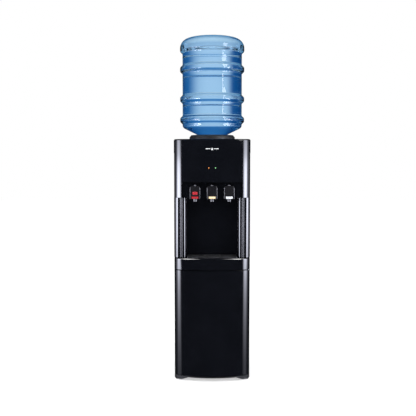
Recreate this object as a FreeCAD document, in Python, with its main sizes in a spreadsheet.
import FreeCAD, Part
import math
import os

import Sketcher

# Floor-standing bottled water dispenser, in millimetres.
# X runs to the right seen from the front, Y runs to the rear, and Z is up.
# The origin is on the floor, under the bottle's axis.

DIMENSIONS = {
    # Cabinet outline
    "side_x": 156.0,  # half the width over the side panels
    "cap_x": 157.2,  # half the width of the top cover
    "crest_y": 160.0,  # the front's furthest point, ahead of the bottle axis
    "front_r": 370.0,  # radius of the bowed front
    "corner_r": 34.0,  # radius of the front corners
    "moulding_y": 98.0,  # where the front mouldings meet the side panels
    "rear_y": 140.0,  # outer face of the rear panel
    "rear_most_y": 165.0,  # rear face of the condenser
    "moulding_wall": 3.0,
    "sheet_wall": 1.2,
    "sheet_gap": 0.2,
    "fold_width": 9.0,  # the return along a side panel's front edge
    "cover_r": 6.0,
    "cover_top_wall": 7.0,
    # Heights of the cabinet's seams
    "foot_top_z": 5.1,
    "skirt_z": 15.5,
    "base_top_z": 20.0,
    "rim_z": 34.0,
    "door_low_z": 22.5,
    "door_top_z": 460.0,
    "tray_low_z": 463.5,
    "tray_top_z": 512.0,
    "pillar_low_z": 513.5,
    "bay_low_z": 758.5,
    "panel_low_z": 822.0,
    "seam_z": 940.0,
    "top_z": 996.0,
    # Base
    "arch_x": 99.0,
    "arch_wide_x": 128.0,
    "side_arch_y": 80.0,
    "foot_x": 143.0,
    "foot_y": 108.0,
    "foot_r": 9.5,
    # Front and alcove
    "panel_x": 123.5,
    "panel_gap": 0.3,
    "panel_back_y": 131.3,
    "panel_top_r": 5.0,
    "lamp_x": 13.6,
    "lamp_z": 879.7,
    "lamp_r": 2.0,
    "lamp_proud": 0.4,
    "board_x": 30.0,
    "board_z": 12.0,
    "board_wall": 1.6,
    "board_depth": 22.0,  # from the panel's crest back to the lamp board
    "alcove_x": 106.5,
    "alcove_back_y": 62.0,
    "pillar_y": 136.0,
    "pillar_r": 24.0,
    "pillar_lip_r": 12.0,
    "bay_wall_y": 128.0,
    "bay_wall_to_backing": 3.5,
    "backing_wall": 2.5,
    "flute_r": 2.0,
    "flute_x": 123.0,
    "flute_pitch": 6.0,
    "shelf_drop": 8.5,  # from the tub's floor down to the shelf
    "ledge_depth": 10.0,
    # Taps
    "tap_pitch": 69.0,
    "tap_axis_y": 142.0,
    "tap_port_z": 775.0,
    "tap_low_z": 743.4,
    "tap_seat_z": 762.0,
    "tap_ear_z": 784.0,
    "tap_top_z": 803.0,
    "barrel_r": 10.0,
    "nozzle_r": 8.0,
    "chamber_r": 6.0,
    "waterway_r": 4.0,
    "ear_x": 12.0,
    "flange_r": 15.0,
    "thread_r": 7.5,
    "thread_length": 16.0,
    "nut_r": 11.0,
    "stem_r": 2.5,
    "seat_r": 5.2,
    "seat_thick": 3.7,
    "head_r": 5.0,
    "head_thick": 2.7,
    "stem_gap": 0.3,
    "lever_x": 21.0,
    "lever_low_z": 754.2,
    "lever_top_z": 807.0,
    "lever_front_y": 165.0,
    "lever_plate": 3.5,
    "lever_corner_r": 9.0,
    "lever_rim_r": 2.5,
    "cheek_x": 14.5,
    "cheek_half": 2.0,
    "web_wall": 2.5,
    "pivot_y": 152.0,
    "pivot_z": 795.0,
    "trunnion_r": 2.0,
    "pin_clearance": 0.06,
    "tip_x": 13.2,
    "tip_low_z": 756.0,
    "tip_top_z": 764.4,
    "tip_deep": 1.5,
    "lock_x": 10.3,
    "lock_low_z": 771.5,
    "lock_top_z": 783.5,
    "lock_travel": 3.0,
    # Drip tray
    "tub_x": 103.0,
    "tub_front_y": 140.0,
    "tub_back_y": 66.0,
    "tub_low_z": 478.0,
    "tray_lip_r": 7.0,
    "tub_wall": 2.5,
    "grille_top_z": 516.0,
    "grille_slot_x": 28.0,
    "grille_pitch_x": 62.0,
    "grille_slot_y": 3.0,
    "grille_pitch_y": 6.0,
    # Door
    "hinge_x": 148.5,
    "hinge_y": 109.0,
    "hinge_pin_r": 3.0,
    "hinge_knuckle_r": 7.0,
    "hinge_pin_length": 13.0,
    "bracket_wall": 2.0,
    "catch_x": 146.5,
    "catch_low_z": 400.0,
    "catch_top_z": 440.0,
    # Bottle and its seat
    "bottle_r": 124.8,
    "rib_r": 135.0,
    "bottle_top_z": 1417.0,
    "crown_r": 40.0,
    "crown_band_z": 1368.0,  # lower end of the wide band under the crown
    "waist_z": 1353.0,
    "rib_high_z": 1289.4,
    "rib_mid_z": 1165.4,
    "rib_low_z": 1079.4,
    "rib_half": 20.0,  # from a rib's middle to where it meets the body
    "rib_flat_half": 8.0,
    "shoulder_z": 1057.0,
    "cone_top_z": 1042.8,
    "cone_top_r": 115.0,
    "cone_low_z": 1000.0,
    "neck_r": 27.5,
    "neck_low_z": 955.0,
    "bottle_wall": 1.5,
    "collar_r": 95.9,
    "collar_lip_r": 84.9,
    "collar_top_z": 1015.5,
    "collar_seat_r": 60.0,
    "collar_bore_r": 32.5,
    "collar_low_z": 941.0,
    "collar_rise": 11.0,
    "collar_dish": 20.0,  # from the collar's top down to its throat
    "cap_wall": 3.8,
    "cap_length": 26.0,
    "cap_hole_r": 10.0,
    # Water and cooling system
    "cold_tank_r": 70.0,
    "cold_tank_low_z": 800.0,
    "cold_tank_top_z": 932.0,
    "foam_r": 88.0,
    "foam_low_z": 783.0,
    "coil_r": 2.0,
    "coil_low": 20.0,  # from the tank's floor up to the first turn
    "coil_pitch": 12.0,
    "probe_r": 8.0,
    "probe_tip_r": 4.0,
    "probe_tip": 12.0,
    "probe_bore_r": 3.0,
    "spoke_half": 1.5,
    "spoke_thick": 4.0,
    "outlet_r": 3.0,
    "room_outlet_y": 40.0,
    "cold_outlet_x": 30.0,
    "feed_x": -10.0,
    "feed_y": 20.0,
    "feed_r": 3.5,
    "feed_bore_r": 2.5,
    "hot_tank_r": 50.0,
    "hot_tank_y": 45.0,
    "hot_tank_low_z": 600.0,
    "hot_tank_top_z": 730.0,
    "hot_tank_wall": 1.5,
    "band_wall": 3.4,
    "band_width": 32.0,
    "thermostat_r": 7.0,
    "thermostat_thick": 8.0,
    "hot_hose_x": -30.0,
    "hot_hose_y": 15.0,
    "hose_r": 4.0,
    "compressor_r": 58.0,
    "compressor_y": 65.0,
    "compressor_low_z": 42.0,
    "compressor_top_z": 190.0,
    "compressor_dome_r": 22.0,
    "compressor_foot_x": 72.0,
    "compressor_foot_y": 50.0,
    "mount_x": 62.0,
    "mount_y": 40.0,
    "mount_r": 9.0,
    "stub_x": 40.0,  # where the lines leave the compressor
    "stub_y": 110.0,
    "stub_z": 120.0,
    "line_x": 118.0,  # where the lines pass through the rear panel
    "line_inset": 11.0,
    "line_hole_r": 5.0,
    "line_r": 2.4,
    "suction_r": 2.0,
    "suction_x": -100.0,
    "suction_top_x": -60.1,
    "suction_top_y": 40.0,
    "drier_r": 8.0,
    "drier_low_z": 612.0,
    "drier_length": 88.0,
    "condenser_tube_r": 2.4,
    "condenser_wire_r": 0.8,
    "condenser_x": 100.0,
    "condenser_low_z": 420.0,
    "condenser_pitch": 40.0,
    "wire_pitch": 15.0,
    "wire_low": 8.0,  # how far the wires run past the lowest run
    "condenser_foot_x": 75.0,
    # Storage compartment
    "liner_x": 140.0,
    "liner_wall": 2.0,
    "liner_step_z": 200.0,
    "liner_step_y": 2.0,
    "liner_back_y": 120.0,
    "liner_top_z": 452.0,
    # Rear fittings
    "gland_x": 110.0,
    "gland_z": 90.0,
    "cord_bore_r": 3.6,
    "gland_r": 6.9,
    "gland_flange_r": 10.0,
    "gland_length": 14.0,
    "switch_z": 330.0,
    "switch_x": 85.0,
    "rocker_r": 10.5,
    "rocker_pitch": 16.0,
    "rocker_half": 6.0,
    "rocker_tilt_drop": 28.0,
    "bezel_x": 21.0,
    "bezel_z": 15.0,
    "bezel_proud": 2.5,
    "housing_x": 17.5,
    "housing_z": 11.7,
    "housing_depth": 18.0,
    "drain_z": 370.0,
    "drain_r": 7.0,
    "drain_bore_r": 4.0,
    "drain_length": 33.0,
    "drain_cap_length": 14.0,
    # Louvres and screws of the rear panel
    "louvre_x": 30.0,
    "louvre_pitch_x": 70.0,
    "louvre_low_z": 120.0,
    "louvre_pitch_z": 14.0,
    "louvre_slot": 5.0,
    "screw_r": 3.6,
    "screw_proud": 2.0,
    "screw_inset": 7.0,
}
CONDENSER_RUNS = 13
CONDENSER_WIRES = 13
COIL_TURNS = 8
LOUVRE_ROWS = 10
GRILLE_ROWS = 11
SCREW_LEVELS = (50, 350, 650, 925)
ROCKER_TILT = 12  # degrees
PAST = 1  # how far a cutting tool runs past the face that it opens
THROUGH = 90  # length of a tool that goes right through a small piece

doc = FreeCAD.newDocument("WaterDispenser")
sheet = doc.addObject("Spreadsheet::Sheet", "Dimensions")
for row, (name, value) in enumerate(DIMENSIONS.items(), 1):
    sheet.set(f"A{row}", name)
    sheet.set(f"B{row}", str(value))
    sheet.setAlias(f"B{row}", name)
doc.recompute()


class Size:
    """A length that carries its value and the sheet expression that gives it."""

    def __init__(self, value, text):
        self.value = value
        self.text = text

    def join(self, other, sign, flip=False):
        other = other if isinstance(other, Size) else Size(other, str(other))
        first, second = (other, self) if flip else (self, other)
        values = {
            "+": first.value + second.value,
            "-": first.value - second.value,
            "*": first.value * second.value,
        }
        return Size(values[sign], f"({first.text} {sign} {second.text})")

    def __add__(self, other):
        return self.join(other, "+")

    def __radd__(self, other):
        return self.join(other, "+", flip=True)

    def __sub__(self, other):
        return self.join(other, "-")

    def __rsub__(self, other):
        return self.join(other, "-", flip=True)

    def __mul__(self, other):
        return self.join(other, "*")

    def __rmul__(self, other):
        return self.join(other, "*", flip=True)

    def __neg__(self):
        return Size(-self.value, f"(-{self.text})")

    def __float__(self):
        return self.value


class Sizes:
    """Every dimension of the sheet, as a named Size."""

    def __getattr__(self, alias):
        return Size(DIMENSIONS[alias], f"Dimensions.{alias}")


d = Sizes()
ORIGIN = FreeCAD.Vector()
TURNS = {
    "z": FreeCAD.Rotation(),
    "y": FreeCAD.Rotation(FreeCAD.Vector(1, 0, 0), -90),
    "x": FreeCAD.Rotation(FreeCAD.Vector(0, 1, 0), 90),
}
condenser_top_z = d.condenser_low_z + (CONDENSER_RUNS - 1) * d.condenser_pitch
sub_parts = []


def bind(item, prop, size):
    """Give a property its value, and the sheet's expression where it has one."""
    if isinstance(size, Size):
        item.setExpression(prop, size.text)
    elif prop.startswith("Placement"):
        item.setExpression(prop, str(float(size)))
    else:
        setattr(item, prop, float(size))


def place(item, at, axis="z"):
    item.Placement = FreeCAD.Placement(ORIGIN, TURNS[axis])
    for letter, size in zip("xyz", at):
        bind(item, f"Placement.Base.{letter}", size)


def box(name, low, high):
    """A block between two corners."""
    made = doc.addObject("Part::Box", name)
    for side, first, last in zip(("Length", "Width", "Height"), low, high):
        bind(made, side, last - first)
    place(made, low)
    return made


def rod(name, foot, radius, length, axis="z"):
    """A cylinder that stands on its foot and runs along an axis."""
    made = doc.addObject("Part::Cylinder", name)
    bind(made, "Radius", radius)
    bind(made, "Height", length)
    place(made, foot, axis)
    return made


def fuse(name, *items):
    made = doc.addObject("Part::MultiFuse", name)
    made.Shapes = list(items)
    return made


def common(name, *items):
    made = doc.addObject("Part::MultiCommon", name)
    made.Shapes = list(items)
    return made


def cut(name, base, *tools):
    made = doc.addObject("Part::Cut", name)
    made.Base = base
    made.Tool = tools[0] if len(tools) == 1 else fuse(f"{name}_tools", *tools)
    return made


def group(name, items):
    """Separate solids that share one node."""
    made = doc.addObject("Part::Compound", name)
    made.Links = list(items)
    return made


def ring(name, foot, outer, inner, length, axis="z"):
    """A tube, as one cylinder bored by another."""
    core = rod(f"{name}_bore", foot, inner, length, axis)
    return cut(name, rod(f"{name}_blank", foot, outer, length, axis), core)


def rounded(name, source, radius, pick):
    """Round the edges of a part that the test picks."""
    doc.recompute()
    made = doc.addObject("Part::Fillet", name)
    made.Base = source
    numbered = enumerate(source.Shape.Edges, 1)
    made.Edges = [(count, float(radius), float(radius)) for count, edge in numbered if pick(edge)]
    return made


def upright(edge):
    """Whether an edge is straight and vertical."""
    room = edge.BoundBox
    return room.XLength + room.YLength < 0.01


def level(edge, height):
    """Whether an edge lies flat at a height."""
    room = edge.BoundBox
    return room.ZLength < 0.01 and abs(room.ZMin - float(height)) < 0.01


def sketch_outline(body, plane, points):
    """A closed outline of straight lines, each corner held to the sheet."""
    role = next(item for item in body.Origin.OriginFeatures if item.Role == plane)
    outline = body.newObject("Sketcher::SketchObject", f"{body.Name}_outline")
    outline.AttachmentSupport = [(role, "")]
    outline.MapMode = "FlatFace"
    places = [FreeCAD.Vector(float(across), float(up), 0) for across, up in points]
    for count, start in enumerate(places):
        outline.addGeometry(Part.LineSegment(start, places[(count + 1) % len(places)]))
    for count, (across, up) in enumerate(points):
        outline.addConstraint(
            Sketcher.Constraint("Coincident", count, 2, (count + 1) % len(points), 1)
        )
        for kind, axis, size in (("DistanceX", -2, across), ("DistanceY", -1, up)):
            if float(size) == 0:
                outline.addConstraint(Sketcher.Constraint("PointOnObject", count, 1, axis))
                continue
            number = outline.addConstraint(
                Sketcher.Constraint(kind, -1, 1, count, 1, float(size))
            )
            if isinstance(size, Size):
                outline.setExpression(f"Constraints[{number}]", size.text)
    return outline


def lathe(name, points):
    """A body turned about the vertical axis, from radius and height pairs."""
    body = doc.addObject("PartDesign::Body", name)
    outline = sketch_outline(body, "XZ_Plane", points)
    turned = body.newObject("PartDesign::Revolution", f"{name}_turned")
    turned.Profile = outline
    turned.ReferenceAxis = (outline, ["V_Axis"])
    turned.Angle = 360
    outline.Visibility = False
    return body


def padded(name, plane, points, length):
    """A body padded evenly both ways from a plane of its origin."""
    body = doc.addObject("PartDesign::Body", name)
    outline = sketch_outline(body, plane, points)
    pad = body.newObject("PartDesign::Pad", f"{name}_pad")
    pad.Profile = outline
    pad.Midplane = True
    bind(pad, "Length", length)
    return body


def coded(name, shape):
    """A part whose shape comes from Part's own functions."""
    made = doc.addObject("Part::Feature", name)
    made.Shape = shape
    made.Placement = FreeCAD.Placement()
    return made


def pipe_shape(points, radius, bend):
    """A round tube along straight runs that are joined by tangent arcs."""
    places = [FreeCAD.Vector(*[float(size) for size in point]) for point in points]
    edges = []
    start = places[0]
    for before, corner, after in zip(places, places[1:], places[2:]):
        back = (before - corner).normalize()
        ahead = (after - corner).normalize()
        half_turn = (math.pi - back.getAngle(ahead)) / 2
        reach = bend * math.tan(half_turn)
        arc_start = corner + back * reach
        arc_end = corner + ahead * reach
        inward = (back + ahead).normalize()
        middle = corner + inward * (bend / math.cos(half_turn) - bend)
        edges.append(Part.LineSegment(start, arc_start).toShape())
        edges.append(Part.Arc(arc_start, middle, arc_end).toShape())
        start = arc_end
    edges.append(Part.LineSegment(start, places[-1]).toShape())
    path = Part.Wire(edges)
    section = Part.Wire(Part.Circle(places[0], places[1] - places[0], radius).toShape())
    tube = path.makePipeShell([section], True, False)
    expected = math.pi * radius**2 * path.Length
    if abs(tube.Volume - expected) > 0.02 * expected:
        raise ValueError(f"a tube's volume is {tube.Volume:.0f}, not {expected:.0f}")
    return tube


def span(side, inner, outer):
    """The two X values of something that runs outwards from inner to outer on one side."""
    return (inner, outer) if side > 0 else (-outer, -inner)


def keep(item, label):
    """Name a finished sub-part, whose label names its file."""
    item.Label = label
    sub_parts.append(item)
    return item


def front_block(name, inset, low_z, high_z, back_y):
    """The bowed plan of the cabinet's front with its two round corners, as a solid."""
    block = box(
        f"{name}_box",
        (-(d.side_x - inset), -(d.crest_y - inset), low_z),
        (d.side_x - inset, -back_y, high_z),
    )
    bow = rod(
        f"{name}_bow", (0, d.front_r - d.crest_y, low_z), d.front_r - inset, high_z - low_z
    )
    plan = common(f"{name}_plan", block, bow)

    def front_corner(edge):
        return upright(edge) and edge.BoundBox.YMax < -float(d.hinge_y)

    return rounded(name, plan, d.corner_r - inset, front_corner)


def make_base_pan():
    """Plate, rim and four corner blocks, arched between the blocks."""
    front = front_block("base_front", 0, d.foot_top_z, d.base_top_z, d.moulding_y)
    rear = box(
        "base_rear",
        (-d.side_x, -d.moulding_y, d.foot_top_z),
        (d.side_x, d.rear_y - d.sheet_wall, d.base_top_z),
    )
    arch = padded(
        "base_arch",
        "XZ_Plane",
        [
            (-d.arch_wide_x, d.foot_top_z - PAST),
            (d.arch_wide_x, d.foot_top_z - PAST),
            (d.arch_x, d.skirt_z),
            (-d.arch_x, d.skirt_z),
        ],
        4 * d.crest_y,
    )
    side_gap = box(
        "base_side_gap",
        (-2 * d.side_x, -d.side_arch_y, d.foot_top_z - PAST),
        (2 * d.side_x, d.side_arch_y, d.skirt_z),
    )
    plate = cut("base_plate", fuse("base_blank", front, rear), arch, side_gap)
    rim = box(
        "base_rim_blank",
        (-d.side_x, -d.moulding_y, d.base_top_z),
        (d.side_x, d.rear_y - d.sheet_wall, d.rim_z),
    )
    inside = box(
        "base_rim_inside",
        (-d.side_x + d.moulding_wall, -d.moulding_y - PAST, d.base_top_z),
        (d.side_x - d.moulding_wall, d.rear_y - d.sheet_wall - d.moulding_wall, d.rim_z + PAST),
    )
    pin = rod(
        "lower_hinge_pin",
        (d.hinge_x, -d.hinge_y, d.base_top_z),
        d.hinge_pin_r,
        d.hinge_pin_length,
    )
    keep(fuse("base", plate, cut("base_rim", rim, inside), pin), "base_pan")


def make_feet():
    """Four round feet under the base's corner blocks."""
    feet = [
        rod(f"foot_{side}_{end}", (side * d.foot_x, end * d.foot_y, 0), d.foot_r, d.foot_top_z)
        for side in (-1, 1)
        for end in (-1, 1)
    ]
    keep(group("feet_group", feet), "feet")


def make_side_panels():
    """A folded sheet each side, with a short return along its front edge."""
    for side, label in ((-1, "side_panel_left"), (1, "side_panel_right")):
        first, last = span(side, d.side_x - d.sheet_wall, d.side_x)
        sheet_box = box(
            f"{label}_sheet",
            (first, -d.moulding_y, d.rim_z),
            (last, d.rear_y - d.sheet_wall, d.seam_z),
        )
        first, last = span(side, d.side_x - d.fold_width, d.side_x)
        fold = box(
            f"{label}_fold",
            (first, -d.moulding_y, d.rim_z),
            (last, -d.moulding_y + d.sheet_wall, d.seam_z),
        )
        keep(fuse(f"{label}_folded", sheet_box, fold), label)


def make_rear_panel():
    """A sheet with louvre slots, and holes for what passes through it."""
    back = d.rear_y - d.sheet_wall
    blank = box("rear_blank", (-d.side_x, back, d.base_top_z - 4), (d.side_x, d.rear_y, d.seam_z))
    holes = [
        box(
            f"louvre_{column}_{row}",
            (column * d.louvre_pitch_x - d.louvre_x, back - PAST, d.louvre_low_z + row * d.louvre_pitch_z),
            (
                column * d.louvre_pitch_x + d.louvre_x,
                d.rear_y + PAST,
                d.louvre_low_z + d.louvre_slot + row * d.louvre_pitch_z,
            ),
        )
        for column in (-1, 0, 1)
        for row in range(LOUVRE_ROWS)
    ]
    round_holes = {
        "gland_hole": (-d.gland_x, d.gland_z, d.gland_r + 0.1),
        "drain_hole": (0, d.drain_z, d.drain_r + 1),
        "discharge_hole": (d.line_x, d.condenser_low_z, d.line_hole_r),
        "return_hole": (-d.line_x, condenser_top_z, d.line_hole_r),
    }
    for name, (x, z, radius) in round_holes.items():
        holes.append(rod(name, (x, back - PAST, z), radius, d.sheet_wall + 2 * PAST, "y"))
    switch_half_x = d.housing_x + 0.5
    switch_half_z = d.housing_z + 0.3
    holes.append(
        box(
            "switch_hole",
            (d.switch_x - switch_half_x, back - PAST, d.switch_z - switch_half_z),
            (d.switch_x + switch_half_x, d.rear_y + PAST, d.switch_z + switch_half_z),
        )
    )
    keep(cut("rear", blank, *holes), "rear_panel")


def make_top_cover():
    """The cover behind the front mouldings, with a skirt over the side panels."""
    blank = box(
        "cover_blank",
        (-d.cap_x, -d.moulding_y, d.seam_z),
        (d.cap_x, d.rear_y + d.sheet_wall, d.top_z),
    )

    def outer_top(edge):
        room = edge.BoundBox
        at_front = room.YMax < -float(d.moulding_y) + 0.01
        return level(edge, d.top_z) and not at_front

    shell = rounded("cover_shell", blank, d.cover_r, outer_top)
    inside = box(
        "cover_inside",
        (-d.side_x - d.sheet_gap, -d.moulding_y - PAST, d.seam_z - PAST),
        (d.side_x + d.sheet_gap, d.rear_y + d.sheet_gap, d.top_z - d.cover_top_wall),
    )
    well = rod("cover_well", (0, 0, d.seam_z), d.collar_lip_r + 3, THROUGH)
    keep(cut("cover", shell, inside, well), "top_cover")


def make_front_frame():
    """Both round corner mouldings, the top strip and the wall behind the panel."""
    blank = front_block("frame_blank", 0, d.bay_low_z, d.top_z, d.moulding_y)

    def front_top(edge):
        return level(edge, d.top_z) and edge.BoundBox.YMin < -float(d.moulding_y) - 1

    outer = rounded("frame_outer", blank, d.panel_top_r, front_top)
    inside = front_block(
        "frame_inside",
        d.moulding_wall,
        d.bay_low_z + d.moulding_wall,
        d.top_z - d.moulding_wall,
        d.moulding_y - PAST,
    )
    gap_x = d.panel_x + d.panel_gap
    backing_low_z = d.panel_low_z + 3 * d.moulding_wall
    panel_space = box(
        "frame_panel_space",
        (-gap_x, -2 * d.crest_y, d.panel_low_z - d.panel_gap),
        (gap_x, -d.panel_back_y + d.panel_gap, d.top_z + PAST),
    )
    bay_space = box(
        "frame_bay_space",
        (-gap_x, -2 * d.crest_y, d.bay_low_z - PAST),
        (gap_x, 0, backing_low_z),
    )
    corners = cut("frame_corners", outer, inside, panel_space, bay_space)
    cheeks = []
    for side in (-1, 1):
        first, last = span(side, gap_x, gap_x + d.moulding_wall)
        cheeks.append(
            box(
                f"frame_cheek_{side}",
                (first, -2 * d.crest_y, d.bay_low_z),
                (last, -d.moulding_y, d.top_z),
            )
        )
    cheek_walls = common("frame_cheek_walls", outer, fuse("frame_cheeks", *cheeks))
    backing_y = -d.bay_wall_y + d.bay_wall_to_backing
    backing = box(
        "frame_backing",
        (-gap_x - 1, backing_y, backing_low_z),
        (gap_x + 1, backing_y + d.backing_wall, d.top_z - 1),
    )
    keep(fuse("frame", corners, cheek_walls, backing), "front_frame")


def make_control_panel():
    """The bowed panel between the corner mouldings, with two lamp holes."""
    blank = front_block("panel_blank", 0, d.panel_low_z, d.top_z, d.moulding_y)
    width = box(
        "panel_width",
        (-d.panel_x, -2 * d.crest_y, d.panel_low_z),
        (d.panel_x, -d.panel_back_y, d.top_z),
    )
    block = common("panel_block", blank, width)

    def front_top(edge):
        return level(edge, d.top_z) and edge.BoundBox.YMin < -float(d.crest_y) + 1

    outer = rounded("panel_outer", block, d.panel_top_r, front_top)
    solid_inside = front_block(
        "panel_inside",
        d.moulding_wall,
        d.panel_low_z + d.moulding_wall,
        d.top_z - d.moulding_wall,
        d.moulding_y,
    )
    inside_width = box(
        "panel_inside_width",
        (-d.panel_x + d.moulding_wall, -2 * d.crest_y, d.panel_low_z),
        (d.panel_x - d.moulding_wall, 0, d.top_z),
    )
    inside = common("panel_hollow", solid_inside, inside_width)
    hole_r = d.lamp_r + 0.1
    hole_y = -d.crest_y - PAST
    depth = 2 * d.moulding_wall
    holes = [
        rod(f"lamp_hole_{side}", (side * d.lamp_x, hole_y, d.lamp_z), hole_r, depth, "y")
        for side in (-1, 1)
    ]
    keep(cut("panel", outer, inside, *holes), "control_panel")


def make_lamps():
    """Two lenses on a board behind the control panel."""
    board_y = -d.crest_y + d.board_depth

    def front_edge(edge):
        return edge.BoundBox.YMax < -float(d.crest_y)

    for side, label in ((-1, "lamp_lens_hot"), (1, "lamp_lens_cold")):
        tip = (side * d.lamp_x, -d.crest_y - d.lamp_proud, d.lamp_z)
        lens = rod(f"{label}_stem", tip, d.lamp_r, d.board_depth + d.lamp_proud, "y")
        keep(rounded(f"{label}_dome", lens, 2 * d.lamp_proud, front_edge), label)
    board = box(
        "board",
        (-d.board_x, board_y, d.lamp_z - d.board_z),
        (d.board_x, board_y + d.board_wall, d.lamp_z + d.board_z),
    )
    keep(board, "lamp_board")


def make_pillar(side):
    """A hollow round-cornered pillar beside the alcove, with two flutes down its front."""
    name = f"pillar_{side}"
    wall = d.moulding_wall
    top_z = d.bay_low_z - d.panel_gap
    outer_x = d.alcove_x + wall

    def front_edges_at(x, front_y):
        def picked(edge):
            room = edge.BoundBox
            at_front = room.YMax < -float(front_y) + 1
            return upright(edge) and at_front and abs(abs(room.XMin) - float(x)) < 1

        return picked

    first, last = span(side, d.alcove_x, d.side_x)
    blank = box(f"{name}_blank", (first, -d.pillar_y, d.pillar_low_z), (last, -d.moulding_y, top_z))
    turned = rounded(f"{name}_turned", blank, d.pillar_r, front_edges_at(d.side_x, d.pillar_y))
    eased = rounded(
        f"{name}_eased", turned, d.pillar_lip_r, front_edges_at(d.alcove_x, d.pillar_y)
    )
    first, last = span(side, outer_x, d.side_x - wall)
    inside_y = d.pillar_y - wall
    hollow_box = box(
        f"{name}_hollow_box", (first, -inside_y, d.pillar_low_z + wall), (last, 0, top_z - wall)
    )
    hollow_turned = rounded(
        f"{name}_hollow_turned",
        hollow_box,
        d.pillar_r - wall,
        front_edges_at(d.side_x - wall, inside_y),
    )
    hollow = rounded(
        f"{name}_hollow", hollow_turned, d.pillar_lip_r - wall, front_edges_at(outer_x, inside_y)
    )
    flute_y = -d.pillar_y - 0.4 * d.flute_r
    grooves = [
        rod(
            f"{name}_flute_{count}",
            (side * (d.flute_x + count * d.flute_pitch), flute_y, d.pillar_low_z - PAST),
            d.flute_r,
            d.bay_low_z - d.pillar_low_z + 2 * PAST,
        )
        for count in (0, 1)
    ]
    return cut(name, eased, hollow, *grooves)


def make_alcove():
    """Pillars, side and back walls, ceiling, tap wall and the shelf under the tray."""
    wall = d.moulding_wall
    outer_x = d.alcove_x + wall
    shelf_z = d.tub_low_z - d.shelf_drop
    back_y = -d.alcove_back_y + wall
    ceiling_z = d.bay_low_z + wall
    overlap_y = -d.moulding_y - PAST
    pieces = [make_pillar(side) for side in (-1, 1)]
    pieces.append(
        box("alcove_back", (-outer_x, -d.alcove_back_y, shelf_z), (outer_x, back_y, ceiling_z))
    )
    for side in (-1, 1):
        first, last = span(side, d.alcove_x, outer_x)
        pieces.append(
            box(f"alcove_side_{side}", (first, overlap_y, shelf_z), (last, back_y, ceiling_z))
        )
    pieces.append(
        box("alcove_ceiling", (-outer_x, -d.bay_wall_y, d.bay_low_z), (outer_x, back_y, ceiling_z))
    )
    pieces.append(
        box(
            "alcove_front_ledge",
            (-d.panel_x, -d.bay_wall_y, d.bay_low_z),
            (d.panel_x, -d.bay_wall_y + d.ledge_depth, ceiling_z),
        )
    )
    pieces.append(
        box(
            "tap_wall",
            (-d.panel_x, -d.bay_wall_y, d.bay_low_z),
            (d.panel_x, -d.bay_wall_y + wall, d.panel_low_z + 2.5 * wall),
        )
    )
    shelf_x = d.side_x - d.fold_width - 0.5
    pieces.append(
        box("tray_shelf", (-shelf_x, overlap_y, shelf_z - wall), (shelf_x, back_y, shelf_z))
    )
    holes = [
        rod(
            f"tap_hole_{count}",
            (count * d.tap_pitch, -d.bay_wall_y - PAST, d.tap_port_z),
            d.thread_r + 0.5,
            2 * wall,
            "y",
        )
        for count in (-1, 0, 1)
    ]
    keep(cut("alcove_moulding", fuse("alcove_blank", *pieces), *holes), "alcove")


def make_taps():
    """Three push taps, each a body, a lever, a coloured tip and a lifting stem."""
    nuts = []
    springs = []
    spring_low_z = d.tap_seat_z + d.seat_thick + 4.8
    for count, label in ((-1, "hot"), (0, "room"), (1, "cold")):
        x = count * d.tap_pitch
        y = -d.tap_axis_y
        make_tap_body(label, x, y)
        make_tap_lever(label, x)
        make_tap_tip(label, x)
        make_tap_stem(label, x, y)
        nut_foot = (x, -d.bay_wall_y + d.moulding_wall, d.tap_port_z)
        nuts.append(ring(f"tap_nut_{label}", nut_foot, d.nut_r, d.thread_r, 5, "y"))
        springs.append(
            ring(f"tap_spring_{label}", (x, y, spring_low_z), d.seat_r, d.stem_r + 0.7, 13.2)
        )
    make_lock(-d.tap_pitch)
    keep(group("tap_nut_group", nuts), "tap_nuts")
    keep(group("tap_spring_group", springs), "tap_springs")


def make_tap_body(label, x, y):
    """A barrel with its nozzle, ears for the lever, and a threaded tail through the wall."""
    name = f"tap_{label}"
    barrel = rod(
        f"{name}_barrel", (x, y, d.lever_low_z), d.barrel_r, d.tap_ear_z + 2 - d.lever_low_z
    )
    nozzle = rod(f"{name}_nozzle", (x, y, d.tap_low_z), d.nozzle_r, d.tap_ear_z - d.tap_low_z)
    ears = box(
        f"{name}_ears",
        (x - d.ear_x, -d.pivot_y - 4, d.tap_ear_z),
        (x + d.ear_x, y + 9, d.tap_top_z),
    )
    port_length = d.tap_axis_y - d.bay_wall_y
    port = rod(f"{name}_port", (x, y, d.tap_port_z), d.thread_r + 1.5, port_length, "y")
    flange_foot = (x, -d.bay_wall_y - d.moulding_wall, d.tap_port_z)
    flange = rod(f"{name}_flange", flange_foot, d.flange_r, d.moulding_wall, "y")
    thread = rod(
        f"{name}_thread", (x, -d.bay_wall_y, d.tap_port_z), d.thread_r, d.thread_length, "y"
    )
    blank = fuse(f"{name}_blank", barrel, nozzle, ears, port, flange, thread)
    tools = [
        rod(
            f"{name}_chamber",
            (x, y, d.tap_seat_z),
            d.chamber_r,
            d.tap_ear_z + PAST - d.tap_seat_z,
        ),
        rod(f"{name}_outlet", (x, y, d.tap_low_z - PAST), d.waterway_r, 30),
        rod(f"{name}_guide", (x, y, d.tap_ear_z), d.stem_r + d.pin_clearance, 30),
        rod(f"{name}_inlet", (x, y, d.tap_port_z), d.waterway_r, 40, "y"),
    ]
    for side in (-1, 1):
        first, _ = span(side, d.ear_x - 3.5, d.ear_x + 0.5)
        tools.append(
            rod(
                f"{name}_trunnion_hole_{side}",
                (x + first, -d.pivot_y, d.pivot_z),
                d.trunnion_r + d.pin_clearance,
                4,
                "x",
            )
        )
    keep(cut(name, blank, *tools), f"tap_body_{label}")


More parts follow.
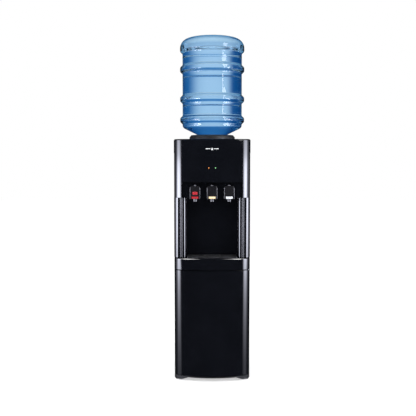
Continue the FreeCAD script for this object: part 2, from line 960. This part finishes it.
def make_tap_lever(label, x):
    """A face plate with two cheeks on moulded trunnions and a web that lifts the stem."""
    name = f"lever_{label}"
    front = -d.lever_front_y
    back = front + d.lever_plate
    block = box(
        f"{name}_plate_blank",
        (x - d.lever_x, front, d.lever_low_z),
        (x + d.lever_x, back, d.lever_top_z),
    )

    def top_corner(edge):
        room = edge.BoundBox
        return room.XLength + room.ZLength < 0.01 and room.ZMin > float(d.lever_top_z) - 1

    def front_rim(edge):
        room = edge.BoundBox
        return room.YLength < 0.01 and room.YMax < float(front) + 1

    shoulders = rounded(f"{name}_shoulders", block, d.lever_corner_r, top_corner)
    solids = [rounded(f"{name}_plate", shoulders, d.lever_rim_r, front_rim)]
    for side in (-1, 1):
        first, last = span(side, d.cheek_x - d.cheek_half, d.cheek_x + d.cheek_half)
        solids.append(
            box(
                f"{name}_cheek_{side}",
                (x + first, back - PAST, d.tap_ear_z + 3),
                (x + last, -d.pivot_y + 5, d.lever_top_z - 1),
            )
        )
        first, last = span(side, d.ear_x - 3, d.cheek_x - 0.5)
        foot = (x + first, -d.pivot_y, d.pivot_z)
        solids.append(rod(f"{name}_trunnion_{side}", foot, d.trunnion_r, last - first, "x"))
    web_x = d.cheek_x + d.cheek_half
    solids.append(
        box(
            f"{name}_web",
            (x - web_x, back - PAST, d.lever_top_z - 0.5 - d.web_wall),
            (x + web_x, -d.tap_axis_y + 6, d.lever_top_z - 0.5),
        )
    )
    slot_x = d.stem_r + 0.7
    tools = [
        box(
            f"{name}_slot",
            (x - slot_x, -d.tap_axis_y - 5, d.tap_top_z),
            (x + slot_x, -d.tap_axis_y + 7, d.lever_top_z + PAST),
        ),
        box(
            f"{name}_tip_pocket",
            (x - d.tip_x, front - PAST, d.tip_low_z),
            (x + d.tip_x, front + d.tip_deep, d.tip_top_z),
        ),
    ]
    if label == "hot":
        gap = 0.3
        tools.append(
            box(
                f"{name}_lock_window",
                (x - d.lock_x - gap, front - PAST, d.lock_low_z - gap),
                (x + d.lock_x + gap, back + PAST, d.lock_top_z + d.lock_travel + 0.4),
            )
        )
    keep(cut(name, fuse(f"{name}_solid", *solids), *tools), f"tap_lever_{label}")


def make_tap_tip(label, x):
    """The coloured bar set into the foot of a lever."""
    front = -d.lever_front_y
    tip = box(
        f"tip_{label}",
        (x - d.tip_x, front, d.tip_low_z),
        (x + d.tip_x, front + d.tip_deep, d.tip_top_z),
    )
    keep(tip, f"tap_tip_{label}")


def make_lock(x):
    """The red safety slide in the hot tap's lever."""
    block = box(
        "lock_block",
        (x - d.lock_x, -d.lever_front_y + 0.1, d.lock_low_z),
        (x + d.lock_x, -d.lever_front_y + d.lever_plate + 1.5, d.lock_top_z),
    )
    lock = rounded("lock", block, 0.8, lambda edge: edge.BoundBox.YLength < 0.01)
    keep(lock, "hot_lock")


def make_tap_stem(label, x, y):
    """A seat disc, a rod and a head that the lever's web lifts."""
    name = f"stem_{label}"
    seat = rod(f"{name}_seat", (x, y, d.tap_seat_z + d.stem_gap), d.seat_r, d.seat_thick)
    shaft_length = d.lever_top_z - d.tap_seat_z
    shaft = rod(f"{name}_shaft", (x, y, d.tap_seat_z + 1), d.stem_r, shaft_length)
    head = rod(f"{name}_head", (x, y, d.lever_top_z + d.stem_gap), d.head_r, d.head_thick)
    keep(fuse(name, seat, shaft, head), f"tap_stem_{label}")


def make_drip_tray():
    """A full-width bowed front with a rolled lip, and a tub behind it."""
    blank = front_block("tray_blank", 0, d.tray_low_z, d.tray_top_z, d.moulding_y + 5)

    def front_top(edge):
        return level(edge, d.tray_top_z) and edge.BoundBox.YMin < -float(d.moulding_y) - 6

    outer = rounded("tray_outer", blank, d.tray_lip_r, front_top)
    wall = d.moulding_wall
    inside = front_block(
        "tray_inside", wall, d.tray_low_z - PAST, d.tray_top_z - wall, d.moulding_y - PAST
    )
    shell = cut("tray_shell", outer, inside)
    tub = box(
        "tub_blank",
        (-d.tub_x, -d.tub_front_y, d.tub_low_z),
        (d.tub_x, -d.tub_back_y, d.tray_top_z),
    )
    hollow_box = box(
        "tub_hollow_box",
        (-d.tub_x + d.tub_wall, -d.tub_front_y + d.tub_wall, d.tub_low_z + d.tub_wall),
        (d.tub_x - d.tub_wall, -d.tub_back_y - d.tub_wall, d.tray_top_z + PAST),
    )
    hollow = rounded("tub_hollow", hollow_box, 6, upright)
    keep(cut("tray", fuse("tray_solid", shell, tub), hollow), "drip_tray")


def make_drip_grille():
    """A slotted plate that lies on the tub's rim and lifts out."""
    blank = box(
        "grille_blank",
        (-d.tub_x + 0.5, -d.tub_front_y, d.tray_top_z),
        (d.tub_x - 0.5, -d.tub_back_y, d.grille_top_z),
    )
    eased = rounded("grille_eased", blank, 4, upright)
    first_y = -d.tub_front_y + 7
    slots = [
        box(
            f"grille_slot_{column}_{row}",
            (
                column * d.grille_pitch_x - d.grille_slot_x,
                first_y + row * d.grille_pitch_y,
                d.tray_top_z - PAST,
            ),
            (
                column * d.grille_pitch_x + d.grille_slot_x,
                first_y + d.grille_slot_y + row * d.grille_pitch_y,
                d.grille_top_z + PAST,
            ),
        )
        for column in (-1, 0, 1)
        for row in range(GRILLE_ROWS)
    ]
    keep(cut("grille", eased, *slots), "drip_grille")


def make_door():
    """A bowed shell with a round hinge edge, and the liner that closes its back."""
    back_y = d.moulding_y + 1
    blank = front_block("door_blank", 0, d.door_low_z, d.door_top_z, back_y)
    wall = d.moulding_wall
    inside = front_block(
        "door_inside", wall, d.door_low_z + wall, d.door_top_z - wall, d.moulding_y - PAST
    )
    hinge_side = box(
        "door_hinge_side",
        (d.hinge_x, -d.hinge_y, 0),
        (2 * d.side_x, 0, 2 * d.door_top_z),
    )
    shell = cut("door_shell", blank, inside, hinge_side)
    height = d.door_top_z - d.door_low_z
    knuckle = rod(
        "door_knuckle", (d.hinge_x, -d.hinge_y, d.door_low_z), d.hinge_knuckle_r, height
    )
    pin_hole = rod(
        "door_pin_hole",
        (d.hinge_x, -d.hinge_y, 0),
        d.hinge_pin_r + d.pin_clearance,
        2 * d.door_top_z,
    )
    trimmed = box(
        "door_trim_space",
        (-d.side_x + 6, -back_y - 6, 0),
        (d.side_x, 0, d.door_top_z * 2),
    )
    front_side = cut("door_front_side", shell, trimmed)
    keep(cut("door", fuse("door_solid", front_side, knuckle), pin_hole), "door_skin")
    liner = box(
        "door_liner_plate",
        (-d.side_x + 4, -d.moulding_y - 9, d.door_low_z + 4),
        (d.hinge_x - 9, -d.moulding_y - 7, d.door_top_z - 4),
    )
    keep(liner, "door_liner")


def make_hinge_bracket():
    """A plate in the gap above the door, with the upper hinge pin."""
    low_z = d.door_top_z + 1
    plate = box(
        "bracket_plate",
        (d.hinge_x - 9, -d.hinge_y - 7, low_z),
        (d.side_x - 1.5, -d.moulding_y - 1, low_z + d.bracket_wall),
    )
    tail = box(
        "bracket_tail",
        (d.hinge_x - 9, -d.moulding_y - 2, low_z),
        (d.side_x - d.fold_width - 0.5, -d.moulding_y + 20, low_z + d.bracket_wall),
    )
    pin = rod(
        "upper_hinge_pin",
        (d.hinge_x, -d.hinge_y, low_z - d.hinge_pin_length),
        d.hinge_pin_r,
        d.hinge_pin_length,
    )
    keep(fuse("bracket", plate, tail, pin), "upper_hinge_bracket")


def make_catch():
    """The magnet that holds the door's free edge."""
    catch = box(
        "catch",
        (-d.catch_x, -d.moulding_y - 5, d.catch_low_z),
        (-d.catch_x + 6, -d.moulding_y + 8, d.catch_top_z),
    )
    keep(catch, "door_catch")


def bottle_profile(inset):
    """The turned outline of the inverted bottle, shrunk by an inset."""
    body_r = float(d.bottle_r) - inset
    rib_r = float(d.rib_r) - inset
    top_z = float(d.bottle_top_z) - inset
    crown_r = float(d.crown_r)
    crown_z = top_z - crown_r
    band_z = float(d.crown_band_z)
    rib_half = float(d.rib_half)
    flat_half = float(d.rib_flat_half)
    edges = []
    last = FreeCAD.Vector(0, 0, top_z)

    def line_to(radius, height):
        nonlocal last
        point = FreeCAD.Vector(radius, 0, height)
        edges.append(Part.LineSegment(last, point).toShape())
        last = point

    def arc_to(middle, end):
        nonlocal last
        via = FreeCAD.Vector(middle[0], 0, middle[1])
        point = FreeCAD.Vector(end[0], 0, end[1])
        edges.append(Part.Arc(last, via, point).toShape())
        last = point

    slant = math.sqrt(0.5)
    line_to(rib_r - crown_r, top_z)
    arc_to(
        (rib_r - crown_r + crown_r * slant, crown_z + crown_r * slant),
        (rib_r, crown_z),
    )
    line_to(rib_r, band_z)
    s_curve(arc_to, (rib_r, band_z), (body_r, float(d.waist_z)))
    for level_z in (d.rib_high_z, d.rib_mid_z, d.rib_low_z):
        middle = float(level_z)
        line_to(body_r, middle + rib_half)
        s_curve(arc_to, (body_r, middle + rib_half), (rib_r, middle + flat_half))
        line_to(rib_r, middle - flat_half)
        s_curve(arc_to, (rib_r, middle - flat_half), (body_r, middle - rib_half))
    line_to(body_r, float(d.shoulder_z) + 1)
    shoulder_r = float(d.cone_top_r) - inset
    shoulder_z = float(d.cone_top_z)
    arc_to((body_r - 2.6, shoulder_z + 5.5), (shoulder_r, shoulder_z))
    neck_r = float(d.neck_r) - inset
    cone_low_z = float(d.cone_low_z) + inset * 0.5
    line_to(neck_r, cone_low_z)
    line_to(neck_r, float(d.neck_low_z) + (-1 if inset else 0))
    line_to(0, last.z)
    line_to(0, top_z)
    return Part.Face(Part.Wire(edges))


def s_curve(arc_to, start, end):
    """Two tangent arcs that leave and arrive vertically between two rib levels."""
    middle = ((start[0] + end[0]) / 2, (start[1] + end[1]) / 2)
    across = end[0] - start[0]
    drop = end[1] - start[1]
    chord = math.hypot(across, drop) / 2
    turn = 2 * math.atan2(abs(across), abs(drop))
    bulge = chord / 2 * math.tan(turn / 4)
    away = math.copysign(1, across)
    normal = (abs(drop) / (2 * chord), abs(across) / (2 * chord))
    down = math.copysign(1, -drop)
    first = ((start[0] + middle[0]) / 2, (start[1] + middle[1]) / 2)
    second = ((middle[0] + end[0]) / 2, (middle[1] + end[1]) / 2)
    arc_to(
        (first[0] - away * normal[0] * bulge, first[1] - down * normal[1] * bulge), middle
    )
    arc_to(
        (second[0] + away * normal[0] * bulge, second[1] + down * normal[1] * bulge), end
    )


def make_bottle():
    """A thin blown shell with grip ribs, open at its neck, and the cap on it."""
    axis = FreeCAD.Vector(0, 0, 1)
    outer = bottle_profile(0).revolve(ORIGIN, axis, 360)
    inner = bottle_profile(float(d.bottle_wall)).revolve(ORIGIN, axis, 360)
    keep(coded("bottle_shell", outer.cut(inner)), "bottle")
    cap_r = d.neck_r + 2
    inside_r = d.neck_r + 0.1
    low_z = d.neck_low_z - 4
    cap = lathe(
        "cap_body",
        [
            (d.cap_hole_r, low_z),
            (cap_r, low_z),
            (cap_r, low_z + d.cap_length),
            (inside_r, low_z + d.cap_length),
            (inside_r, low_z + d.cap_wall),
            (d.cap_hole_r, low_z + d.cap_wall),
        ],
    )
    keep(cap, "bottle_cap")


def make_collar():
    """The funnel that the bottle's shoulder sits on, with its tube into the cold tank."""
    wall = d.moulding_wall
    throat_z = d.collar_top_z - d.collar_dish
    under_z = throat_z - 4
    collar = lathe(
        "collar_body",
        [
            (d.collar_bore_r, d.collar_low_z),
            (d.collar_bore_r + wall, d.collar_low_z),
            (d.collar_bore_r + wall, under_z),
            (d.collar_lip_r, under_z),
            (d.collar_lip_r + 2.5, d.top_z),
            (d.collar_r, d.top_z),
            (d.collar_r, d.top_z + d.collar_rise),
            (d.collar_lip_r + 4, d.collar_top_z),
            (d.collar_seat_r + 9, d.collar_top_z),
            (d.collar_seat_r - 4, d.collar_top_z - 5),
            (d.collar_bore_r, throat_z),
        ],
    )
    keep(collar, "bottle_collar")


def make_probe():
    """The hollow spike that opens the bottle's cap, on a cross inside the collar's tube."""
    foot_z = d.collar_low_z
    shoulder_z = d.top_z - d.probe_tip
    tip = doc.addObject("Part::Cone", "probe_tip")
    bind(tip, "Radius1", d.probe_r)
    bind(tip, "Radius2", d.probe_tip_r)
    bind(tip, "Height", d.probe_tip)
    place(tip, (0, 0, shoulder_z))
    spike = rod("probe_spike", (0, 0, foot_z - 4), d.probe_r, shoulder_z - foot_z + 4)
    long_half = d.collar_bore_r
    spokes = [
        box(
            f"probe_spoke_{count}",
            (-half_x, -half_y, foot_z),
            (half_x, half_y, foot_z + d.spoke_thick),
        )
        for count, (half_x, half_y) in enumerate(
            ((long_half, d.spoke_half), (d.spoke_half, long_half))
        )
    ]
    bore = rod("probe_bore", (0, 0, foot_z - 9), d.probe_bore_r, THROUGH)
    keep(cut("probe", fuse("probe_solid", spike, tip, *spokes), bore), "bottle_probe")


def tank_ports():
    """Where the three pipes leave the cold tank's floor."""
    return {
        "room": (0, -d.room_outlet_y),
        "cold": (d.cold_outlet_x, -d.room_outlet_y),
        "hot": (d.feed_x, d.feed_y),
    }


def make_cold_tank():
    """A steel can with a neck that takes the collar's tube, and three outlets."""
    wall = d.bottle_wall
    low_z = d.cold_tank_low_z
    top_z = d.cold_tank_top_z
    neck_r = d.collar_bore_r + d.moulding_wall + 0.3
    neck_z = d.seam_z + 8
    tank_r = d.cold_tank_r
    tank = lathe(
        "cold_tank_body",
        [
            (0, low_z),
            (tank_r, low_z),
            (tank_r, top_z),
            (neck_r + wall, top_z),
            (neck_r + wall, neck_z),
            (neck_r, neck_z),
            (neck_r, top_z - wall),
            (tank_r - wall, top_z - wall),
            (tank_r - wall, low_z + wall),
            (0, low_z + wall),
        ],
    )
    outlets = [
        rod(f"cold_outlet_{label}", (x, y, low_z - PAST), d.outlet_r, 9)
        for label, (x, y) in tank_ports().items()
    ]
    keep(cut("cold_tank_bored", tank, *outlets), "cold_tank")


def make_foam():
    """The jacket round the cold tank, with passages for its pipes."""
    inner_r = d.cold_tank_r + 2 * d.coil_r + 0.6
    floor_z = d.cold_tank_low_z - 0.4
    foam = lathe(
        "foam_body",
        [
            (0, d.foam_low_z),
            (d.foam_r, d.foam_low_z),
            (d.foam_r, d.cold_tank_top_z),
            (inner_r, d.cold_tank_top_z),
            (inner_r, floor_z),
            (0, floor_z),
        ],
    )
    low_z = d.foam_low_z - PAST
    passages = [
        rod(f"foam_passage_{label}", (x, y, low_z), d.hose_r + 1, 40)
        for label, (x, y) in tank_ports().items()
    ]
    passages.append(
        rod("foam_passage_coil", (d.suction_top_x, d.suction_top_y, low_z), 2 * d.coil_r, 30)
    )
    keep(cut("foam", foam, *passages), "cold_tank_foam")


def make_evaporator():
    """The turns of tube round the cold tank."""
    turns = []
    for count in range(COIL_TURNS):
        turn = doc.addObject("Part::Torus", f"coil_turn_{count}")
        bind(turn, "Radius1", d.cold_tank_r + d.coil_r + 0.2)
        bind(turn, "Radius2", d.coil_r)
        place(turn, (0, 0, d.cold_tank_low_z + d.coil_low + d.coil_pitch * count))
        turns.append(turn)
    keep(group("coil_turns", turns), "evaporator_coil")


def make_hot_tank():
    """A steel can with its feed pipe from the cold tank, a band heater and thermostats."""
    wall = d.hot_tank_wall
    low_z = d.hot_tank_low_z
    top_z = d.hot_tank_top_z
    height = top_z - low_z
    outer = rod("hot_can", (0, d.hot_tank_y, low_z), d.hot_tank_r, height)
    inside_foot = (0, d.hot_tank_y, low_z + wall)
    inner = rod("hot_can_inside", inside_foot, d.hot_tank_r - wall, height - 2 * wall)
    shell = cut("hot_can_shell", outer, inner)
    feed_length = d.cold_tank_low_z - top_z + PAST
    feed = rod("hot_feed", (d.feed_x, d.feed_y, top_z - PAST), d.feed_r, feed_length)
    feed_bore = rod("hot_feed_bore", (d.feed_x, d.feed_y, top_z - 4), d.feed_bore_r, THROUGH)
    keep(cut("hot_tank_bored", fuse("hot_tank_solid", shell, feed), feed_bore), "hot_tank")
    inner_r = d.hot_tank_r + 0.1
    band_foot = (0, d.hot_tank_y, low_z + 30)
    band = ring("band", band_foot, inner_r + d.band_wall, inner_r, d.band_width)
    keep(band, "heater_band")
    discs = [
        rod(
            f"thermostat_{count}",
            (d.hot_tank_r, d.hot_tank_y, low_z + 85 + 24 * count),
            d.thermostat_r,
            d.thermostat_thick,
            "x",
        )
        for count in (0, 1)
    ]
    keep(group("thermostats", discs), "hot_thermostats")


def make_hoses():
    """Hoses from the tanks to the three tap threads."""
    pitch = d.tap_pitch
    port_z = d.tap_port_z
    tail_y = -d.bay_wall_y + d.thread_length
    drop_z = port_z - 4
    radius = float(d.hose_r)
    routes = {
        "cold_hose": [
            (pitch, tail_y, port_z),
            (pitch, -1.5 * d.room_outlet_y, port_z),
            (d.cold_outlet_x, -d.room_outlet_y, port_z),
            (d.cold_outlet_x, -d.room_outlet_y, d.cold_tank_low_z),
        ],
        "room_hose": [
            (0, tail_y, port_z),
            (0, -d.room_outlet_y, port_z),
            (0, -d.room_outlet_y, d.cold_tank_low_z),
        ],
        "hot_hose": [
            (-pitch, tail_y, port_z),
            (-pitch, d.hot_hose_y, drop_z),
            (d.hot_hose_x, d.hot_hose_y, drop_z),
            (d.hot_hose_x, d.hot_hose_y, d.hot_tank_top_z),
        ],
    }
    for label, points in routes.items():
        keep(coded(f"{label}_tube", pipe_shape(points, radius, 12)), label)


def make_compressor():
    """A domed can on its base plate, and the four rubber mounts under it."""
    low_z = d.compressor_low_z
    height = d.compressor_top_z - low_z
    can = rod("compressor_can", (0, d.compressor_y, low_z), d.compressor_r, height)
    domed = rounded(
        "compressor_domed", can, d.compressor_dome_r, lambda edge: edge.BoundBox.ZLength < 0.01
    )
    foot_low_z = low_z - 3
    base = box(
        "compressor_base",
        (-d.compressor_foot_x, d.compressor_y - d.compressor_foot_y, foot_low_z),
        (d.compressor_foot_x, d.compressor_y + d.compressor_foot_y, low_z + 1),
    )
    keep(fuse("compressor_solid", domed, base), "compressor")
    mounts = [
        rod(
            f"mount_{side}_{end}",
            (side * d.mount_x, d.compressor_y + end * d.mount_y, d.base_top_z),
            d.mount_r,
            foot_low_z - d.base_top_z,
        )
        for side in (-1, 1)
        for end in (-1, 1)
    ]
    keep(group("mount_group", mounts), "compressor_mounts")


def make_refrigeration():
    """Condenser, drier, and the lines between them, the compressor and the cold tank."""
    tube_y = d.rear_most_y - 2 * d.condenser_wire_r - d.condenser_tube_r
    keep(coded("condenser_shape", condenser_shape(float(tube_y))), "condenser")
    line_y = d.rear_y - d.line_inset
    under_foam_z = d.foam_low_z - 9
    exit_z = d.condenser_low_z
    drier_top_z = d.drier_low_z + d.drier_length
    discharge = [
        (d.stub_x, d.stub_y, d.stub_z),
        (d.stub_x, line_y, d.stub_z),
        (d.line_x, line_y, d.stub_z),
        (d.line_x, line_y, exit_z),
        (d.line_x, tube_y, exit_z),
        (d.condenser_x, tube_y, exit_z),
    ]
    suction = [
        (-d.stub_x, d.stub_y, d.stub_z),
        (-d.stub_x, line_y, d.stub_z),
        (d.suction_x, line_y, d.stub_z),
        (d.suction_x, line_y, under_foam_z),
        (d.suction_top_x, d.suction_top_y, under_foam_z),
        (d.suction_top_x, d.suction_top_y, d.cold_tank_low_z + d.coil_low - d.coil_r - 0.2),
    ]
    liquid = [
        (-d.condenser_x, tube_y, condenser_top_z),
        (-d.line_x, tube_y, condenser_top_z),
        (-d.line_x, line_y, condenser_top_z),
        (-d.line_x, line_y, drier_top_z),
    ]
    runs = ((discharge, d.line_r), (suction, d.suction_r), (liquid, d.line_r))
    lines = [
        coded(f"line_{count}", pipe_shape(points, float(radius), 8))
        for count, (points, radius) in enumerate(runs)
    ]
    keep(group("line_group", lines), "refrigerant_lines")
    drier = rod("drier_can", (-d.line_x, line_y, d.drier_low_z), d.drier_r, d.drier_length)
    keep(rounded("drier", drier, 5, lambda edge: edge.BoundBox.ZLength < 0.01), "filter_drier")


def condenser_shape(tube_y):
    """A serpentine tube in one plane, between two rows of upright wires."""
    pitch = float(d.condenser_pitch)
    low_z = float(d.condenser_low_z)
    end_x = float(d.condenser_x)
    bend = pitch / 2
    edges = []
    for run in range(CONDENSER_RUNS):
        side = 1 if run % 2 == 0 else -1
        z = low_z + run * pitch
        first_x = side * (end_x if run == 0 else end_x - bend)
        last_x = -side * (end_x if run == CONDENSER_RUNS - 1 else end_x - bend)
        start = FreeCAD.Vector(first_x, tube_y, z)
        end = FreeCAD.Vector(last_x, tube_y, z)
        edges.append(Part.LineSegment(start, end).toShape())
        if run < CONDENSER_RUNS - 1:
            middle = FreeCAD.Vector(last_x - side * bend, tube_y, z + bend)
            top = FreeCAD.Vector(last_x, tube_y, z + pitch)
            edges.append(Part.Arc(end, middle, top).toShape())
    path = Part.Wire(edges)
    start = edges[0].Vertexes[0].Point
    circle = Part.Circle(start, FreeCAD.Vector(1, 0, 0), float(d.condenser_tube_r))
    tube = path.makePipeShell([Part.Wire(circle.toShape())], True, False)
    wires = []
    wire_r = float(d.condenser_wire_r)
    wire_low_z = low_z - float(d.wire_low)
    wire_length = float(condenser_top_z + d.wire_low) - wire_low_z
    first_x = -float(d.wire_pitch) * (CONDENSER_WIRES - 1) / 2
    offset = float(d.condenser_tube_r) + wire_r
    for side in (-1, 1):
        for count in range(CONDENSER_WIRES):
            x = first_x + float(d.wire_pitch) * count
            foot = FreeCAD.Vector(x, tube_y + side * offset, wire_low_z)
            wires.append(Part.makeCylinder(wire_r, wire_length, foot))
    feet = []
    foot_x, foot_z = 6, 4
    reach = tube_y - offset - wire_r - float(d.rear_y)
    for side in (-1, 1):
        for z in (low_z, float(condenser_top_z)):
            middle_x = side * float(d.condenser_foot_x)
            corner = FreeCAD.Vector(middle_x - foot_x, float(d.rear_y), z - foot_z)
            feet.append(Part.makeBox(2 * foot_x, reach, 2 * foot_z, corner))
    return Part.makeCompound([tube, *wires, *feet])


def make_storage_liner():
    """The compartment behind the door, stepped over the compressor."""
    wall = d.liner_wall

    def stepped(name, inset, width, front):
        return padded(
            name,
            "YZ_Plane",
            [
                (front, d.rim_z + 4 + inset),
                (-d.liner_step_y - inset, d.rim_z + 4 + inset),
                (-d.liner_step_y - inset, d.liner_step_z + inset),
                (d.liner_back_y - inset, d.liner_step_z + inset),
                (d.liner_back_y - inset, d.liner_top_z - inset),
                (front, d.liner_top_z - inset),
            ],
            2 * width,
        )

    outer = stepped("liner_outer", 0, d.liner_x, -d.moulding_y)
    inner = stepped("liner_inner", wall, d.liner_x - wall, -d.moulding_y - PAST)
    keep(cut("liner", outer, inner), "storage_liner")


def make_gland():
    """The cord's inlet bush through the rear panel."""
    inner_y = d.rear_y - 4
    body = rod("gland_body", (-d.gland_x, inner_y, d.gland_z), d.gland_r, d.gland_length, "y")
    flange = rod("gland_flange", (-d.gland_x, d.rear_y, d.gland_z), d.gland_flange_r, 3, "y")
    bore_foot = (-d.gland_x, inner_y - PAST, d.gland_z)
    bore = rod("gland_bore", bore_foot, d.cord_bore_r, d.gland_length + 2 * PAST, "y")
    keep(cut("gland", fuse("gland_solid", body, flange), bore), "cord_gland")


def make_switches():
    """Two rockers in one bezel, each a drum with a slanted face."""
    frame = box(
        "bezel_frame",
        (d.switch_x - d.bezel_x, d.rear_y, d.switch_z - d.bezel_z),
        (d.switch_x + d.bezel_x, d.rear_y + d.bezel_proud, d.switch_z + d.bezel_z),
    )
    housing = box(
        "bezel_housing",
        (d.switch_x - d.housing_x, d.rear_y - d.housing_depth, d.switch_z - d.housing_z),
        (d.switch_x + d.housing_x, d.rear_y, d.switch_z + d.housing_z),
    )
    wells = []
    well_x = d.rocker_half + 0.3
    well_z = d.rocker_r + 0.3
    for side, label in ((-1, "heat_rocker"), (1, "cool_rocker")):
        x = d.switch_x + side * 0.5 * d.rocker_pitch
        wells.append(
            box(
                f"{label}_well",
                (x - well_x, d.rear_y - d.housing_depth + 2.5, d.switch_z - well_z),
                (x + well_x, d.rear_y + 9, d.switch_z + well_z),
            )
        )
        axle = (x - d.rocker_half, d.rear_y - 4.5, d.switch_z)
        drum = rod(f"{label}_drum", axle, d.rocker_r, 2 * d.rocker_half, "x")
        face = box(f"{label}_face", (x - 9, 0, 0), (x + 9, 30, 60))
        bind(face, "Placement.Base.y", d.rear_y + 9)
        bind(face, "Placement.Base.z", d.switch_z - d.rocker_tilt_drop)
        face.Placement.Rotation = FreeCAD.Rotation(FreeCAD.Vector(1, 0, 0), ROCKER_TILT)
        keep(cut(label, drum, face), label)
    keep(cut("bezel", fuse("bezel_solid", frame, housing), *wells), "switch_bezel")


def make_drain():
    """The drain spout through the rear panel, and the cap over its end."""
    bore_r = d.drain_bore_r
    foot = (0, d.rear_y - 19, d.drain_z)
    spout = ring("spout_tube", foot, d.drain_r, bore_r, d.drain_length, "y")
    flange = ring("spout_flange", (0, d.rear_y, d.drain_z), d.drain_r + 4, bore_r, 3, "y")
    keep(fuse("spout", spout, flange), "drain_spout")
    cap_y = d.rear_y + 4
    blank = rod("cap_blank", (0, cap_y, d.drain_z), d.drain_r + 2.5, d.drain_cap_length, "y")
    bore = rod(
        "cap_bore",
        (0, cap_y - PAST, d.drain_z),
        d.drain_r + d.pin_clearance,
        d.drain_cap_length - 3.5 + PAST,
        "y",
    )
    keep(cut("cap", blank, bore), "drain_cap")


def make_screws():
    """Pan-head screws that hold the rear panel and the top cover."""
    heads = []
    for side in (-1, 1):
        for z in SCREW_LEVELS:
            at = (side * (d.side_x - d.screw_inset), d.rear_y, z)
            heads.append(rod(f"screw_{side}_{z}", at, d.screw_r, d.screw_proud, "y"))
    keep(group("screw_group", heads), "panel_screws")


def check_and_export():
    """Stop on any failed object or shape, then write one file per sub-part."""
    doc.recompute()
    for item in doc.Objects:
        if "Invalid" in item.State or "Error" in item.State:
            raise ValueError(f"{item.Name} failed: {item.State}")
    os.makedirs("parts", exist_ok=True)
    for item in sub_parts:
        shape = item.Shape
        if shape.isNull() or not shape.isValid() or not shape.Solids:
            raise ValueError(f"{item.Label} has no valid solid")
        shape.exportStep(f"parts/{item.Label}.step")


make_base_pan()
make_feet()
make_side_panels()
make_rear_panel()
make_top_cover()
make_front_frame()
make_control_panel()
make_lamps()
make_alcove()
make_taps()
make_drip_tray()
make_drip_grille()
make_door()
make_hinge_bracket()
make_catch()
make_bottle()
make_collar()
make_probe()
make_cold_tank()
make_foam()
make_evaporator()
make_hot_tank()
make_hoses()
make_compressor()
make_refrigeration()
make_storage_liner()
make_gland()
make_switches()
make_drain()
make_screws()
check_and_export()
